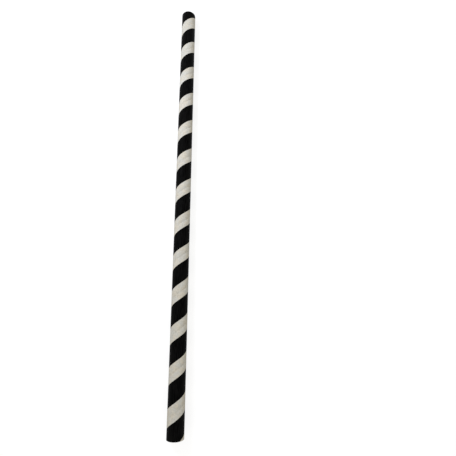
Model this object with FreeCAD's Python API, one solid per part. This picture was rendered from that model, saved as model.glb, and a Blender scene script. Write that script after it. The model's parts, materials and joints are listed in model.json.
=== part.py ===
import FreeCAD, Part
import math
import os

# A spiral-wound paper drinking straw, lying on its side along +Y, in millimetres
# The origin is under the middle of the straw, on the surface that it lies on
# Three paper tapes are wound right-handed over one another and glued into one tube
# The outer and the inner tape each leave a fine helical gap where their turns meet
# A knife cuts both ends off square

STRAW_LENGTH = 197.0
BORE_DIAMETER = 6.0
PLY_THICKNESS = 0.13
PLY_COUNT = 3

# One turn of the tapes moves this far along the straw
WINDING_LEAD = 14.88

# The gaps are measured square to the tape's edges, and glue fills each below this depth
OUTER_SEAM_GAP = 0.12
INNER_SEAM_GAP = 0.12
SEAM_DEPTH = 0.05

# Where each seam meets the near end, in degrees from +X down and round under the straw
OUTER_SEAM_ANGLE = 31.8
INNER_SEAM_ANGLE = 271.8

bore_radius = BORE_DIAMETER / 2
wall_thickness = PLY_THICKNESS * PLY_COUNT
outer_radius = bore_radius + wall_thickness
tube_start = FreeCAD.Vector(0, 0, 0)
tube_axis = FreeCAD.Vector(0, 0, 1)


def paper_wall():
    """The plain tube that the glued plies make, standing on the XY plane."""
    outside = Part.makeCylinder(outer_radius, STRAW_LENGTH)
    return outside.cut(Part.makeCylinder(bore_radius, STRAW_LENGTH))


def winding_path(radius):
    """A right-handed helix, one edge for each turn, that runs a turn past both ends."""
    turn_count = math.ceil(STRAW_LENGTH / WINDING_LEAD)
    turns = []
    for index in range(-1, turn_count + 1):
        turn = Part.makeHelix(WINDING_LEAD, WINDING_LEAD, radius)
        turn.translate(tube_axis * (index * WINDING_LEAD))
        turns.extend(turn.Edges)
    return Part.Wire(turns)


def seam_cutter(floor_radius, open_radius, gap, start_angle):
    """A square bar wound along the tube that fills the gap beside one tape."""
    middle_radius = (floor_radius + open_radius) / 2
    rise = WINDING_LEAD / (2 * math.pi * middle_radius)
    half_width = gap / 2 * math.hypot(1, rise)
    lower = -WINDING_LEAD - half_width
    upper = -WINDING_LEAD + half_width
    corners = [
        FreeCAD.Vector(floor_radius, 0, lower),
        FreeCAD.Vector(open_radius, 0, lower),
        FreeCAD.Vector(open_radius, 0, upper),
        FreeCAD.Vector(floor_radius, 0, upper),
    ]
    sweep = Part.BRepOffsetAPI.MakePipeShell(winding_path(middle_radius))
    sweep.setFrenetMode(True)
    sweep.add(Part.makePolygon(corners + corners[:1]))
    sweep.build()
    sweep.makeSolid()
    cutter = sweep.shape()
    cutter.rotate(tube_start, tube_axis, start_angle)
    return cutter


def straw_tube():
    """The whole straw: its wall with both seams, laid along +Y at rest on z = 0."""
    outer_seam = seam_cutter(outer_radius - SEAM_DEPTH, outer_radius + PLY_THICKNESS,
                             OUTER_SEAM_GAP, OUTER_SEAM_ANGLE)
    inner_seam = seam_cutter(bore_radius + SEAM_DEPTH, bore_radius - PLY_THICKNESS,
                             INNER_SEAM_GAP, INNER_SEAM_ANGLE)
    straw = paper_wall().cut(outer_seam).cut(inner_seam)
    straw.rotate(tube_start, FreeCAD.Vector(1, 0, 0), -90)
    straw.translate(FreeCAD.Vector(0, -STRAW_LENGTH / 2, outer_radius))
    return straw


os.makedirs("parts", exist_ok=True)
straw_tube().exportStep("parts/straw_tube.step")
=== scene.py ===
import json
import math

import bmesh
import bpy
from mathutils import Matrix, Vector


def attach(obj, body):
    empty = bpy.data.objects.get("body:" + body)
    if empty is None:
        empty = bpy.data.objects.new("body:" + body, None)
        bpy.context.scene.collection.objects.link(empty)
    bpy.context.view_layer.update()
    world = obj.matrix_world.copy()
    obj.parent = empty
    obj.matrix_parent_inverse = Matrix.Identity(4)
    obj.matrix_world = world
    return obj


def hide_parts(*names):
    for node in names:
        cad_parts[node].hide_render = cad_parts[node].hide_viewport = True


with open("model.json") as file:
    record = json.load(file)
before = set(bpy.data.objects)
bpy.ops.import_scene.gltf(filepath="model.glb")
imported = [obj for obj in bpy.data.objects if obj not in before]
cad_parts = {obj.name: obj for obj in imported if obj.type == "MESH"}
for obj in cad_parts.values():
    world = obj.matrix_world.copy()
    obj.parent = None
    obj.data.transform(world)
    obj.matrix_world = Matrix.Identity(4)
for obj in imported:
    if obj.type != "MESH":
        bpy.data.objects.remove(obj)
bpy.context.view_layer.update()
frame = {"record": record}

bl_info = {
    "name": "Paper Straw",
    "version": (1, 0, 0),
    "blender": (4, 5, 0),
    "location": "View3D > Sidebar > Straw",
    "description": "Winds a paper drinking straw from its tapes, prints its stripe and lights it",
    "category": "Add Mesh",
}

MILLIMETRE = 0.001
QUARTER_TURN = math.pi / 2
HALF_TURN = math.pi
FULL_TURN = 2 * math.pi
mounts = {mount["name"]: mount for mount in frame["record"]["mounts"]}
bore_mount = mounts["drinking_bore"]["dims"]
wall_mount = mounts["outer_wall"]["dims"]


class StrawSizes(bpy.types.PropertyGroup):
    """The tube and its three tapes, in the frame's own sizes."""

    length: bpy.props.FloatProperty(
        name="Length",
        description="From one cut end to the other",
        default=bore_mount["length_mm"] * MILLIMETRE,
        unit="LENGTH",
    )
    bore_radius: bpy.props.FloatProperty(
        name="Bore radius",
        description="Half the width of the mandrel that the tapes are wound on",
        default=bore_mount["r_mm"] * MILLIMETRE,
        unit="LENGTH",
    )
    outer_radius: bpy.props.FloatProperty(
        name="Outer radius",
        description="Half the width of the finished straw",
        default=wall_mount["r_mm"] * MILLIMETRE,
        unit="LENGTH",
    )
    tape_count: bpy.props.IntProperty(
        name="Tapes",
        description="Paper tapes wound over one another",
        default=3,
    )
    lead: bpy.props.FloatProperty(
        name="Lead",
        description="How far one turn of the tapes moves along the straw",
        default=14.88 * MILLIMETRE,
        unit="LENGTH",
    )
    seam_gap: bpy.props.FloatProperty(
        name="Seam gap",
        description="Bare gap between two turns of a tape, square to its edges",
        default=0.12 * MILLIMETRE,
        unit="LENGTH",
    )
    seam_depth: bpy.props.FloatProperty(
        name="Seam depth",
        description="How deep the gap is open above the glue in it",
        default=0.05 * MILLIMETRE,
        unit="LENGTH",
    )
    outer_seam_angle: bpy.props.FloatProperty(
        name="Outer seam",
        description="Where the outer seam meets the near end, from +X down and round",
        default=math.radians(31.8),
        subtype="ANGLE",
    )
    inner_seam_angle: bpy.props.FloatProperty(
        name="Inner seam",
        description="Where the inner seam meets the near end, from +X down and round",
        default=math.radians(271.8),
        subtype="ANGLE",
    )
    edge_softness: bpy.props.FloatProperty(
        name="Edge softness",
        description="How far the fibres round off a tape's edge and the cut ends",
        default=0.03 * MILLIMETRE,
        unit="LENGTH",
    )
    unevenness: bpy.props.FloatProperty(
        name="Unevenness",
        description="How far the wound paper lies in or out of a true cylinder",
        default=0.008 * MILLIMETRE,
        unit="LENGTH",
    )
    columns: bpy.props.IntProperty(
        name="Columns",
        description="Facets round the straw",
        default=96,
    )
    seed: bpy.props.FloatProperty(
        name="Seed",
        description="Picks one unevenness of the paper",
        default=4.0,
    )


class PaperFinish(bpy.types.PropertyGroup):
    """The paper, and the stripe that is printed on its outer face."""

    paper: bpy.props.FloatVectorProperty(
        name="Paper",
        description="Warm off-white of the uncoated paper",
        default=(0.735, 0.73, 0.685),
        subtype="COLOR",
    )
    warm_paper: bpy.props.FloatVectorProperty(
        name="Warm paper",
        description="The paper where its pulp is browner",
        default=(0.75, 0.71, 0.62),
        subtype="COLOR",
    )
    ink: bpy.props.FloatVectorProperty(
        name="Ink",
        description="Black of the printed stripe",
        default=(0.0022, 0.0021, 0.0021),
        subtype="COLOR",
    )
    stripe_share: bpy.props.FloatProperty(
        name="Stripe share",
        description="Share of each turn that the stripe covers",
        default=0.562,
        subtype="FACTOR",
    )
    stripe_start: bpy.props.FloatProperty(
        name="Stripe start",
        description="Where the stripe's first edge meets the near end, in turns past +X",
        default=0.1526,
    )
    ink_edge: bpy.props.FloatProperty(
        name="Ink edge",
        description="Width over which the ink fades into the fibres",
        default=0.05 * MILLIMETRE,
        unit="LENGTH",
    )


class StudioSettings(bpy.types.PropertyGroup):
    """The floor, the light and the camera."""

    key_power: bpy.props.FloatProperty(
        name="Key light",
        description="Power of the soft lamp over the far end, to the left",
        default=0.118,
        unit="POWER",
    )
    sky_strength: bpy.props.FloatProperty(
        name="Sky",
        description="Strength of the light that comes from all round",
        default=0.555,
    )
    floor: bpy.props.FloatVectorProperty(
        name="Floor",
        description="Colour of the plain floor",
        default=(0.40, 0.405, 0.42),
        subtype="COLOR",
    )
    camera_place: bpy.props.FloatVectorProperty(
        name="Camera place",
        description="Where the camera stands above the straw",
        default=(0.01608, -0.05156, 0.14486),
        subtype="TRANSLATION",
    )
    camera_heading: bpy.props.FloatProperty(
        name="Heading",
        description="Turn of the camera's upright about the vertical",
        default=math.radians(-6.671),
        subtype="ANGLE",
    )
    camera_tilt: bpy.props.FloatProperty(
        name="Tilt",
        description="How far the camera looks forward from straight down",
        default=math.radians(14.277),
        subtype="ANGLE",
    )
    camera_roll: bpy.props.FloatProperty(
        name="Roll",
        description="Turn of the picture about the camera's line of sight",
        default=math.radians(6.712),
        subtype="ANGLE",
    )
    lens: bpy.props.FloatProperty(
        name="Lens",
        description="Focal length on a sensor 36 mm wide",
        default=26.05,
        unit="CAMERA",
    )


class Field:
    """A number that varies over a mesh or a surface, made by the Math nodes of one tree."""

    def __init__(self, tree, socket):
        self.tree = tree
        self.socket = socket

    def math(self, operation, *others):
        node = self.tree.nodes.new("ShaderNodeMath")
        node.operation = operation
        for slot, value in enumerate((self, *others)):
            feed(self.tree, value, node.inputs[slot])
        return Field(self.tree, node.outputs[0])

    def __add__(self, other):
        return self.math("ADD", other)

    def __sub__(self, other):
        return self.math("SUBTRACT", other)

    def __mul__(self, other):
        return self.math("MULTIPLY", other)

    def __truediv__(self, other):
        return self.math("DIVIDE", other)

    def ramp(self, start, end, low, high, smooth=False):
        """low up to start and high from end, and even or smooth between them."""
        node = self.tree.nodes.new("ShaderNodeMapRange")
        node.interpolation_type = "SMOOTHSTEP" if smooth else "LINEAR"
        for slot, value in enumerate((self, start, end, low, high)):
            feed(self.tree, value, node.inputs[slot])
        return Field(self.tree, node.outputs[0])


def feed(tree, value, socket):
    """Links a field or a socket into a socket, or writes a plain value there."""
    if isinstance(value, Field):
        tree.links.new(value.socket, socket)
    elif isinstance(value, bpy.types.NodeSocket):
        tree.links.new(value, socket)
    else:
        socket.default_value = value


def split_place(tree, socket):
    """The three numbers of a place."""
    node = tree.nodes.new("ShaderNodeSeparateXYZ")
    tree.links.new(socket, node.inputs[0])
    return [Field(tree, output) for output in node.outputs]


def joined_place(tree, x, y, z):
    """A place made of three numbers."""
    node = tree.nodes.new("ShaderNodeCombineXYZ")
    for socket, value in zip(node.inputs, (x, y, z)):
        feed(tree, value, socket)
    return node.outputs[0]


def grain(tree, place, feature, detail=2.0, seed=0.0, distortion=0.0):
    """Noise from 0 to 1 whose lumps are about one feature wide."""
    node = tree.nodes.new("ShaderNodeTexNoise")
    node.noise_dimensions = "4D"
    feed(tree, place, node.inputs["Vector"])
    feed(tree, seed, node.inputs["W"])
    node.inputs["Scale"].default_value = 1 / feature
    node.inputs["Detail"].default_value = detail
    node.inputs["Distortion"].default_value = distortion
    return Field(tree, node.outputs["Fac"])


# The rows across half a tape: gap centre, gap edge, top of the tape's side, its rounding, its flat
GAP_EDGE_ROW = 1
SIDE_TOP_ROW = 2
ROUND_END_ROW = 4
TAPE_MIDDLE_ROW = 8
SPARE_TURNS = 1.5
UNEVEN_SPACING = 5.0 * MILLIMETRE
MERGE_DISTANCE = 0.0005 * MILLIMETRE
WINDING_INPUTS = (
    "Turns", "Columns", "Lead", "Length", "Seam Depth", "Axis Height", "Edge Softness", "Unevenness",
    "Seed", "Outer Radius", "Outer Gap", "Outer Seam", "Bore Radius", "Inner Gap", "Inner Seam",
)


def wound_sheet(tree, size, radius, gap, seam, inward):
    """One face of the wall: a flat grid, with turns along X and tape rows along Y, wound into a tube."""
    grid = tree.nodes.new("GeometryNodeMeshGrid")
    feed(tree, size["Turns"], grid.inputs["Size X"])
    feed(tree, size["Turns"] * size["Columns"] + 1, grid.inputs["Vertices X"])
    grid.inputs["Size Y"].default_value = 2 * TAPE_MIDDLE_ROW
    grid.inputs["Vertices Y"].default_value = 2 * TAPE_MIDDLE_ROW + 1
    flat_x, flat_y, _ = split_place(tree, tree.nodes.new("GeometryNodeInputPosition").outputs[0])
    turn = flat_x + size["Turns"] / 2 - SPARE_TURNS
    row = flat_y.math("ABSOLUTE") * -1 + TAPE_MIDDLE_ROW

    bend = row.ramp(SIDE_TOP_ROW, ROUND_END_ROW, 0, QUARTER_TURN)
    softness = size["Edge Softness"]
    open_depth = size["Seam Depth"]
    half_lead = size["Lead"] / 2
    half_flat = half_lead - gap / 2 - softness
    from_gap = row.ramp(0, GAP_EDGE_ROW, 0, gap / 2)
    from_gap = from_gap + softness - softness * bend.math("COSINE")
    from_gap = from_gap + row.ramp(ROUND_END_ROW, TAPE_MIDDLE_ROW, 0, half_flat)
    depth = open_depth - row.ramp(GAP_EDGE_ROW, SIDE_TOP_ROW, 0, open_depth - softness)
    depth = depth - softness * bend.math("SINE")

    across = half_lead + flat_y.math("SIGN") * (half_lead - from_gap)
    along = turn * size["Lead"] + across - seam * size["Lead"] - size["Length"] / 2
    angle = turn * -FULL_TURN
    cosine = angle.math("COSINE")
    sine = angle.math("SINE")
    on_wall = joined_place(tree, cosine * radius, along, sine * radius)
    lump = (grain(tree, on_wall, UNEVEN_SPACING, seed=size["Seed"]) - 0.5) * 2 * size["Unevenness"]
    reach = radius + lump + depth if inward else radius + lump - depth

    place = tree.nodes.new("GeometryNodeSetPosition")
    tree.links.new(grid.outputs["Mesh"], place.inputs["Geometry"])
    feed(tree, joined_place(tree, cosine * reach, along, sine * reach + size["Axis Height"]),
         place.inputs["Position"])
    if not inward:
        return place.outputs[0]
    flip = tree.nodes.new("GeometryNodeFlipFaces")
    tree.links.new(place.outputs[0], flip.inputs[0])
    return flip.outputs[0]


def winding_tree(material):
    """The tree that winds the outer and the inner face of the paper wall past both ends."""
    tree = bpy.data.node_groups.new("wound_paper_wall", "GeometryNodeTree")
    inputs = tree.nodes.new("NodeGroupInput")
    result = tree.nodes.new("NodeGroupOutput")
    tree.interface.new_socket("Geometry", in_out="OUTPUT", socket_type="NodeSocketGeometry")
    for name in WINDING_INPUTS:
        tree.interface.new_socket(name, in_out="INPUT", socket_type="NodeSocketFloat")
    size = {name: Field(tree, inputs.outputs[name]) for name in WINDING_INPUTS}
    outside = wound_sheet(tree, size, size["Outer Radius"], size["Outer Gap"], size["Outer Seam"], False)
    inside = wound_sheet(tree, size, size["Bore Radius"], size["Inner Gap"], size["Inner Seam"], True)

    join = tree.nodes.new("GeometryNodeJoinGeometry")
    tree.links.new(outside, join.inputs[0])
    tree.links.new(inside, join.inputs[0])
    merge = tree.nodes.new("GeometryNodeMergeByDistance")
    merge.inputs["Distance"].default_value = MERGE_DISTANCE
    realize = tree.nodes.new("GeometryNodeRealizeInstances")
    paint = tree.nodes.new("GeometryNodeSetMaterial")
    paint.inputs["Material"].default_value = material
    chain = (join, merge, realize, paint, result)
    for earlier, later in zip(chain, chain[1:]):
        tree.links.new(earlier.outputs[0], later.inputs[0])
    return tree


def wound_mesh(tree, values):
    """Runs the winding tree once with these values and returns its plain mesh."""
    carrier = bpy.data.objects.new("winding", bpy.data.meshes.new("winding"))
    bpy.context.scene.collection.objects.link(carrier)
    modifier = carrier.modifiers.new("winding", "NODES")
    modifier.node_group = tree
    for item in tree.interface.items_tree:
        if item.in_out == "INPUT":
            modifier[item.identifier] = float(values[item.name])
    graph = bpy.context.evaluated_depsgraph_get()
    mesh = bpy.data.meshes.new_from_object(carrier.evaluated_get(graph))
    carrier.modifiers.remove(modifier)
    bpy.data.objects.remove(carrier)
    return mesh


RIM_STEPS = 3
RIM_SOFTNESS = 1.4
CUT_TOLERANCE = 0.008 * MILLIMETRE
ON_PLANE = 0.00001 * MILLIMETRE


def soft_rim(paper, rim, side, outward, lip, sizes):
    """Rounds one rim of a cut end by extruding it, and returns the last ring of edges."""
    ring = rim
    for step in range(1, RIM_STEPS + 1):
        made = bmesh.ops.extrude_edge_only(paper, edges=ring)["geom"]
        points = [part for part in made if isinstance(part, bmesh.types.BMVert)]
        bend = QUARTER_TURN * step / RIM_STEPS
        last_bend = QUARTER_TURN * (step - 1) / RIM_STEPS
        drawn_in = lip * (math.cos(last_bend) - math.cos(bend))
        pushed_out = lip * (math.sin(bend) - math.sin(last_bend))
        for point in points:
            spoke = Vector((point.co.x, 0, point.co.z - sizes.outer_radius)).normalized()
            point.co -= spoke * drawn_in * outward
            point.co.y += side * pushed_out
        fresh = set(points)
        ring = [part for part in made
                if isinstance(part, bmesh.types.BMEdge) and fresh.issuperset(part.verts)]
    return ring


def cut_square(paper, side, sizes):
    """Cuts the wound faces off square at one end, rounds both rims and closes the wall between them."""
    lip = sizes.edge_softness * RIM_SOFTNESS
    plane = side * (sizes.length / 2 - lip)
    everything = paper.verts[:] + paper.edges[:] + paper.faces[:]
    bmesh.ops.bisect_plane(paper, geom=everything, dist=ON_PLANE, plane_co=(0, plane, 0),
                           plane_no=(0, side, 0), clear_outer=True)
    cut = [edge for edge in paper.edges if edge.is_boundary
           and all(abs(point.co.y - plane) < CUT_TOLERANCE for point in edge.verts)]
    middle = (sizes.outer_radius + sizes.bore_radius) / 2
    rims = {1: [], -1: []}
    for edge in cut:
        point = edge.verts[0].co
        outward = 1 if math.hypot(point.x, point.z - sizes.outer_radius) > middle else -1
        rims[outward].append(edge)
    rings = []
    for outward, rim in rims.items():
        rings += soft_rim(paper, rim, side, outward, lip, sizes)
    bmesh.ops.bridge_loops(paper, edges=rings)


SHARP_ANGLE = math.radians(50)


def finish_shading(paper):
    """Turns every face outwards, smooths the walls and keeps the tapes' edges crisp."""
    bmesh.ops.recalc_face_normals(paper, faces=paper.faces[:])
    for face in paper.faces:
        face.smooth = True
    for edge in paper.edges:
        edge.smooth = edge.calc_face_angle(0) < SHARP_ANGLE


BAKE_STRIPS = 3
INSIDE_SHARE = 0.5
STRIP_MARGIN = 1.3 * MILLIMETRE
ROUND_MARGIN = 0.5 * MILLIMETRE


def unroll_for_baking(paper, sizes):
    """Lays the wall out flat: the outer face in strips, the inner face in smaller ones, and the cut rings."""
    layer = paper.loops.layers.uv.new("OFBake")
    half_length = sizes.length / 2
    strip = sizes.length / BAKE_STRIPS
    across = strip + 2 * STRIP_MARGIN
    outer_round = FULL_TURN * sizes.outer_radius + 2 * ROUND_MARGIN
    inner_round = FULL_TURN * sizes.bore_radius + 2 * ROUND_MARGIN
    ring_room = 2 * (sizes.outer_radius + ROUND_MARGIN)
    wall_middle = (sizes.outer_radius + sizes.bore_radius) / 2
    lip = sizes.edge_softness * RIM_SOFTNESS

    def small_place(index):
        """The corner of one of the smaller places, two to a row above the outer face's strips."""
        row, column = divmod(index, 2)
        above = BAKE_STRIPS * outer_round + row * inner_round * INSIDE_SHARE
        return Vector((column * across * INSIDE_SHARE, above))

    rings_corner = small_place(BAKE_STRIPS)
    sheet_height = rings_corner.y + inner_round * INSIDE_SHARE
    for face in paper.faces:
        middle = face.calc_center_median()
        middle_angle = math.atan2(middle.z - sizes.outer_radius, middle.x)
        outside = math.hypot(middle.x, middle.z - sizes.outer_radius) > wall_middle
        on_ring = abs(middle.y) > half_length - lip
        index = min(int((middle.y + half_length) / strip), BAKE_STRIPS - 1)
        corner = Vector((0, index * outer_round)) if outside else small_place(index)
        share = 1 if outside else INSIDE_SHARE
        radius = sizes.outer_radius if outside else sizes.bore_radius
        ring_start = ring_room if middle.y > 0 else 0
        for loop in face.loops:
            point = loop.vert.co
            if on_ring:
                across_ring = ring_start + ring_room / 2 + point.x
                spot = rings_corner + Vector((across_ring, ROUND_MARGIN + point.z))
            else:
                angle = math.atan2(point.z - sizes.outer_radius, point.x)
                from_middle = math.remainder(angle - middle_angle, FULL_TURN)
                turned = middle_angle + from_middle + HALF_TURN
                along = STRIP_MARGIN + point.y + half_length - index * strip
                spot = corner + share * Vector((along, ROUND_MARGIN + turned * radius))
            loop[layer].uv = (spot.x / across, spot.y / sheet_height)


def winding_values(sizes):
    """What the winding tree is given, with each gap measured along the straw."""
    stretch = {}
    for name, radius in (("Outer Gap", sizes.outer_radius), ("Inner Gap", sizes.bore_radius)):
        stretch[name] = sizes.seam_gap * math.hypot(1, sizes.lead / (FULL_TURN * radius))
    return {
        "Turns": math.ceil(sizes.length / sizes.lead) + 2 * SPARE_TURNS,
        "Columns": sizes.columns,
        "Lead": sizes.lead,
        "Length": sizes.length,
        "Seam Depth": sizes.seam_depth,
        "Axis Height": sizes.outer_radius,
        "Edge Softness": sizes.edge_softness,
        "Unevenness": sizes.unevenness,
        "Seed": sizes.seed,
        "Outer Radius": sizes.outer_radius,
        "Outer Seam": sizes.outer_seam_angle / FULL_TURN,
        "Bore Radius": sizes.bore_radius,
        "Inner Seam": sizes.inner_seam_angle / FULL_TURN,
        **stretch,
    }


class STRAW_OT_wind_tube(bpy.types.Operator):
    """Wind the paper tapes into the straw's tube and cut its ends off square"""

    bl_idname = "straw.wind_tube"
    bl_label = "Wind Tube"

    def execute(self, context):
        sizes = context.scene.straw_sizes
        material = printed_paper(context.scene.straw_finish, sizes)
        mesh = wound_mesh(winding_tree(material), winding_values(sizes))
        paper = bmesh.new()
        paper.from_mesh(mesh)
        for side in (-1, 1):
            cut_square(paper, side, sizes)
        finish_shading(paper)
        unroll_for_baking(paper, sizes)
        if any(not edge.is_manifold for edge in paper.edges):
            raise RuntimeError("The paper wall isn't closed")
        if paper.calc_volume(signed=True) <= 0:
            raise RuntimeError("The paper wall is inside out")
        paper.to_mesh(mesh)
        paper.free()
        mesh.name = "paper_tube"
        tube = bpy.data.objects.new("paper_tube", mesh)
        context.scene.collection.objects.link(tube)
        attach(tube, "root")
        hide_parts("straw_tube")
        return {"FINISHED"}


FIBRE_SIZE = 0.22 * MILLIMETRE
MOTTLE_SIZE = 0.65 * MILLIMETRE
CLOUD_SIZE = 1.8 * MILLIMETRE
STREAK_SIZE = 0.35 * MILLIMETRE
STREAK_STRETCH = 8
EDGE_WANDER = 0.06 * MILLIMETRE
EDGE_WANDER_SIZE = 0.8 * MILLIMETRE
EDGE_BLEED = 0.075 * MILLIMETRE
EDGE_BLEED_SIZE = 0.12 * MILLIMETRE
INK_SKIN = 0.02 * MILLIMETRE
PLY_LINE = 0.012 * MILLIMETRE
PLY_LINE_SHADE = 0.35
PAPER_RELIEF = 0.01 * MILLIMETRE
PAPER_ROUGHNESS = 0.85
INK_ROUGHNESS = 0.5
MATT_SHINE = 0.02

# How far each kind of grain lightens or darkens the paper
FIBRE_TONE = 0.60
MOTTLE_TONE = 0.48
CLOUD_TONE = 0.08
STREAK_TONE = 0.16

# How much of the fibre grain shows in the ink's tone, and how far the streaks thin or thicken the ink
INK_FIBRE = 3.0
INK_THIN = 0.25
INK_THICK = 2.1

# How much of each kind of grain stands up in the surface
FIBRE_RELIEF = 0.8
MOTTLE_RELIEF = 0.6
STREAK_RELIEF = 0.4

# The part of the noise's range where the paper goes from plain to warm, or the ink from thin to thick
PATCH_START = 0.4
PATCH_END = 0.6


def scaled(tree, colour, factor):
    """A colour made lighter or darker by a field."""
    node = tree.nodes.new("ShaderNodeVectorMath")
    node.operation = "SCALE"
    feed(tree, colour, node.inputs[0])
    feed(tree, factor, node.inputs["Scale"])
    return node.outputs[0]


def blended(tree, factor, first, second):
    """The first colour where the factor is 0 and the second where it is 1."""
    node = tree.nodes.new("ShaderNodeMix")
    node.data_type = "RGBA"
    for name, value in (("Factor", factor), ("A", first), ("B", second)):
        feed(tree, value, node.inputs[name])
    return node.outputs["Result"]


def printed_share(tree, place, radius, turn, finish, sizes):
    """1 on the stripe's ink and 0 on bare paper; the ink is only on the outer face."""
    wander = (grain(tree, place, EDGE_WANDER_SIZE, seed=1.0) - 0.5) * (EDGE_WANDER / sizes.lead)
    bleed = (grain(tree, place, EDGE_BLEED_SIZE, detail=3.0, seed=2.0) - 0.5) * (EDGE_BLEED / sizes.lead)
    half_stripe = finish.stripe_share / 2
    half_edge = finish.ink_edge / sizes.lead / 2
    from_middle = (turn - (finish.stripe_start + half_stripe - 0.5)).math("FRACT") - 0.5
    from_middle = from_middle.math("ABSOLUTE") + wander + bleed
    inked = from_middle.ramp(half_stripe - half_edge, half_stripe + half_edge, 1, 0, smooth=True)
    return inked * radius.ramp(sizes.outer_radius - 2 * INK_SKIN, sizes.outer_radius - INK_SKIN, 0, 1)


def ply_lines(y, radius, sizes):
    """1 on the fine rings that the glued tapes leave on a cut end."""
    tape = (sizes.outer_radius - sizes.bore_radius) / sizes.tape_count
    half_length = sizes.length / 2
    on_end = y.math("ABSOLUTE").ramp(half_length - PLY_LINE, half_length, 0, 1)
    lines = on_end * 0
    for count in range(1, sizes.tape_count):
        off_line = (radius - (sizes.bore_radius + count * tape)).math("ABSOLUTE")
        lines = lines + off_line.ramp(PLY_LINE / 2, PLY_LINE, 1, 0)
    return on_end * lines


def printed_paper(finish, sizes):
    """Uncoated paper with the stripe's ink on the outer face, placed by turns about the straw's axis."""
    material = bpy.data.materials.new("printed_paper")
    material.use_nodes = True
    tree = material.node_tree
    tree.nodes.clear()
    place = tree.nodes.new("ShaderNodeTexCoord").outputs["Object"]
    x, y, z = split_place(tree, place)
    up = z - sizes.outer_radius
    radius = (x * x + up * up).math("SQRT")
    turn = (y + sizes.length / 2) / sizes.lead + up.math("ARCTAN2", x) / FULL_TURN
    inked = printed_share(tree, place, radius, turn, finish, sizes)

    fibre = grain(tree, place, FIBRE_SIZE, detail=4.0, seed=3.0, distortion=0.6) - 0.5
    mottle = grain(tree, place, MOTTLE_SIZE, detail=2.0, seed=4.0) - 0.5
    cloud = grain(tree, place, CLOUD_SIZE, detail=3.0, seed=5.0)
    stretched = joined_place(tree, x, y / STREAK_STRETCH, z)
    streak = grain(tree, stretched, STREAK_SIZE, detail=2.0, seed=6.0)
    tone = fibre * FIBRE_TONE + mottle * MOTTLE_TONE + (cloud - 0.5) * CLOUD_TONE + 1
    tone = tone + (streak - 0.5) * STREAK_TONE
    tone = tone * (ply_lines(y, radius, sizes) * -PLY_LINE_SHADE + 1)
    warmth = cloud.ramp(PATCH_START, PATCH_END, 0, 1)
    pulp = blended(tree, warmth, (*finish.paper, 1), (*finish.warm_paper, 1))
    paper = scaled(tree, pulp, tone)
    ink_tone = streak.ramp(PATCH_START, PATCH_END, INK_THICK, INK_THIN) + fibre * INK_FIBRE
    ink = scaled(tree, finish.ink, ink_tone.math("MAXIMUM", 0))

    bump = tree.nodes.new("ShaderNodeBump")
    bump.inputs["Distance"].default_value = PAPER_RELIEF
    relief = fibre * FIBRE_RELIEF + mottle * MOTTLE_RELIEF + streak * STREAK_RELIEF
    feed(tree, relief, bump.inputs["Height"])
    shader = tree.nodes.new("ShaderNodeBsdfPrincipled")
    tree.links.new(blended(tree, inked, paper, ink), shader.inputs["Base Color"])
    feed(tree, inked.ramp(0, 1, PAPER_ROUGHNESS, INK_ROUGHNESS), shader.inputs["Roughness"])
    shader.inputs["Specular IOR Level"].default_value = MATT_SHINE
    tree.links.new(bump.outputs[0], shader.inputs["Normal"])
    output = tree.nodes.new("ShaderNodeOutputMaterial")
    tree.links.new(shader.outputs[0], output.inputs["Surface"])
    return material


def seen_directly(tree):
    """1 for rays that show the background: the camera's, and reflected or refracted ones."""
    path = tree.nodes.new("ShaderNodeLightPath")
    seen = Field(tree, path.outputs["Is Camera Ray"])
    seen = seen.math("MAXIMUM", Field(tree, path.outputs["Is Glossy Ray"]))
    return seen.math("MAXIMUM", Field(tree, path.outputs["Is Transmission Ray"]))


FLOOR_REACH = 3.0
FLOOR_GLOW = 0.82
FLOOR_LIT_SHARE = 0.8


def floor_material(studio):
    """A pale floor that shows as white and keeps a soft shadow."""
    material = bpy.data.materials.new("pale_floor")
    material.use_nodes = True
    tree = material.node_tree
    tree.nodes.clear()
    lit = tree.nodes.new("ShaderNodeBsdfDiffuse")
    lit.inputs["Color"].default_value = (*studio.floor, 1)
    glow = tree.nodes.new("ShaderNodeEmission")
    glow.inputs["Strength"].default_value = FLOOR_GLOW / (1 - FLOOR_LIT_SHARE)
    mix = tree.nodes.new("ShaderNodeMixShader")
    feed(tree, seen_directly(tree) * (1 - FLOOR_LIT_SHARE), mix.inputs[0])
    tree.links.new(lit.outputs[0], mix.inputs[1])
    tree.links.new(glow.outputs[0], mix.inputs[2])
    output = tree.nodes.new("ShaderNodeOutputMaterial")
    tree.links.new(mix.outputs[0], output.inputs["Surface"])
    return material


def lay_floor(studio):
    """A wide round floor under the straw."""
    disc = bmesh.new()
    bmesh.ops.create_circle(disc, cap_ends=True, segments=96, radius=FLOOR_REACH)
    mesh = bpy.data.meshes.new("floor")
    disc.to_mesh(mesh)
    disc.free()
    mesh.materials.append(floor_material(studio))
    floor = bpy.data.objects.new("floor", mesh)
    bpy.context.scene.collection.objects.link(floor)


SKY_COLOUR = (1.0, 0.967, 0.885)


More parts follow.
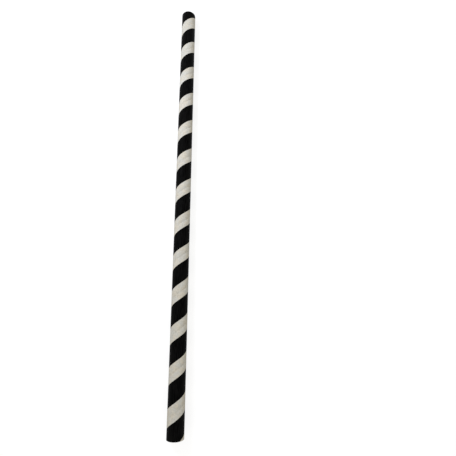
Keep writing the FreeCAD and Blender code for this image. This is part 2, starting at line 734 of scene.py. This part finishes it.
def light_sky(studio):
    """Even light from all round, which shows as plain white."""
    world = bpy.data.worlds.new("studio")
    bpy.context.scene.world = world
    world.use_nodes = True
    tree = world.node_tree
    tree.nodes.clear()
    sky = tree.nodes.new("ShaderNodeBackground")
    sky.inputs["Color"].default_value = (*SKY_COLOUR, 1)
    sky.inputs["Strength"].default_value = studio.sky_strength
    white = tree.nodes.new("ShaderNodeBackground")
    white.inputs["Color"].default_value = (1, 1, 1, 1)
    mix = tree.nodes.new("ShaderNodeMixShader")
    feed(tree, seen_directly(tree), mix.inputs[0])
    tree.links.new(sky.outputs[0], mix.inputs[1])
    tree.links.new(white.outputs[0], mix.inputs[2])
    output = tree.nodes.new("ShaderNodeOutputWorld")
    tree.links.new(mix.outputs[0], output.inputs["Surface"])


KEY_PLACE = Vector((-0.082, 0.061, 0.137))
KEY_WIDTH = 0.05
KEY_COLOUR = (0.97, 1.0, 1.12)


def light_key(studio):
    """One soft lamp over the far half and to the left."""
    lamp = bpy.data.lights.new("soft_lamp", "AREA")
    lamp.shape = "DISK"
    lamp.size = KEY_WIDTH
    lamp.energy = studio.key_power
    lamp.color = KEY_COLOUR
    key = bpy.data.objects.new("soft_lamp", lamp)
    key.location = KEY_PLACE
    aim = Vector((0, KEY_PLACE.y, 0)) - KEY_PLACE
    key.rotation_euler = aim.to_track_quat("-Z", "Y").to_euler()
    key.visible_camera = False
    bpy.context.scene.collection.objects.link(key)


SENSOR_WIDTH = 36
NEAREST_SEEN = 5 * MILLIMETRE


def place_camera(studio):
    """The camera looks down on the straw from above its nearer half."""
    camera = bpy.data.cameras.new("camera")
    camera.lens = studio.lens
    camera.sensor_width = SENSOR_WIDTH
    camera.clip_start = NEAREST_SEEN
    holder = bpy.data.objects.new("camera", camera)
    turned = Matrix.Rotation(studio.camera_heading, 4, "Z")
    tilted = Matrix.Rotation(studio.camera_tilt, 4, "X")
    rolled = Matrix.Rotation(studio.camera_roll, 4, "Z")
    holder.matrix_world = Matrix.Translation(studio.camera_place) @ turned @ tilted @ rolled
    bpy.context.scene.collection.objects.link(holder)
    bpy.context.scene.camera = holder


class STRAW_OT_set_stage(bpy.types.Operator):
    """Lay the floor, light the straw and place the camera"""

    bl_idname = "straw.set_stage"
    bl_label = "Set Stage"

    def execute(self, context):
        studio = context.scene.straw_studio
        lay_floor(studio)
        light_sky(studio)
        light_key(studio)
        place_camera(studio)
        context.scene.view_settings.view_transform = "Standard"
        return {"FINISHED"}


class STRAW_PT_sidebar(bpy.types.Panel):
    """Lists the straw's sizes and finishes above the buttons that make it."""

    bl_idname = "STRAW_PT_sidebar"
    bl_label = "Paper Straw"
    bl_space_type = "VIEW_3D"
    bl_region_type = "UI"
    bl_category = "Straw"

    def draw(self, context):
        for group in (context.scene.straw_sizes, context.scene.straw_finish, context.scene.straw_studio):
            column = self.layout.column()
            for name in type(group).__annotations__:
                column.prop(group, name)
        for operator in (STRAW_OT_wind_tube, STRAW_OT_set_stage):
            self.layout.operator(operator.bl_idname)


CLASSES = (
    StrawSizes,
    PaperFinish,
    StudioSettings,
    STRAW_OT_wind_tube,
    STRAW_OT_set_stage,
    STRAW_PT_sidebar,
)


def register():
    for owner in CLASSES:
        bpy.utils.register_class(owner)
    bpy.types.Scene.straw_sizes = bpy.props.PointerProperty(type=StrawSizes)
    bpy.types.Scene.straw_finish = bpy.props.PointerProperty(type=PaperFinish)
    bpy.types.Scene.straw_studio = bpy.props.PointerProperty(type=StudioSettings)


def unregister():
    del bpy.types.Scene.straw_studio
    del bpy.types.Scene.straw_finish
    del bpy.types.Scene.straw_sizes
    for owner in reversed(CLASSES):
        bpy.utils.unregister_class(owner)


def main():
    register()
    bpy.ops.straw.wind_tube()
    bpy.ops.straw.set_stage()


if __name__ == "__main__":
    main()
